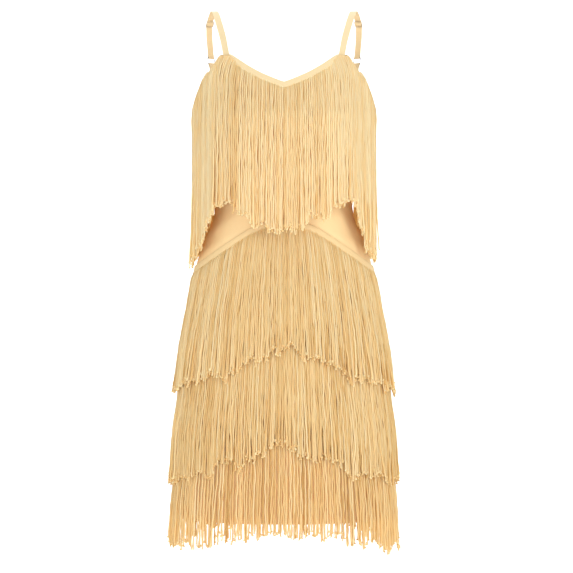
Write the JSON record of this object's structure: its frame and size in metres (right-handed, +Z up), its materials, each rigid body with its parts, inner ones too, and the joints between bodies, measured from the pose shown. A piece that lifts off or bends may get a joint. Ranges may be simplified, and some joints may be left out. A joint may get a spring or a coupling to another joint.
{
  "type": "flapper dress",
  "caption": "Sleeveless V-neck mini flapper dress in pale champagne gold, with tiers of long hanging fringe, a plain waist and adjustable shoulder straps.",
  "frame": {"origin": "midway between the undersides of the two strap tops, where the wearer's shoulders hold the dress", "axes": "+Z up, towards the shoulders; the front of the dress faces -Y; +X is the viewer's right from the front"},
  "size_m": [0.38, 0.2598, 0.8953],
  "materials": {
    "stretch_jersey": "matt stretch knit",
    "binding_jersey": "matt stretch knit",
    "fringe_rayon": "soft lustre rayon strands",
    "header_tape": "matt woven band",
    "strap_satin": "soft satin elastic",
    "ring_metal": "bright plated",
    "slider_metal": "bright plated"
  },
  "bodies": {
    "root": {"front_panel": "stretch_jersey", "back_panel": "stretch_jersey", "front_neck_binding": "binding_jersey", "back_neck_binding": "binding_jersey", "armhole_binding_left": "binding_jersey", "armhole_binding_right": "binding_jersey", "fringe_1_front": "fringe_rayon", "tape_2_front": "header_tape", "fringe_2_front": "fringe_rayon", "tape_3_front": "header_tape", "fringe_3_front": "fringe_rayon", "tape_4_front": "header_tape", "fringe_4_front": "fringe_rayon", "fringe_1_back": "fringe_rayon", "tape_2_back": "header_tape", "fringe_2_back": "fringe_rayon", "tape_3_back": "header_tape", "fringe_3_back": "fringe_rayon", "tape_4_back": "header_tape", "fringe_4_back": "fringe_rayon", "strap_left": "strap_satin", "ring_tab_left": "strap_satin", "ring_left": "ring_metal", "slider_left": "slider_metal", "strap_right": "strap_satin", "ring_tab_right": "strap_satin", "ring_right": "ring_metal", "slider_right": "slider_metal"}
  },
  "joints": []
}
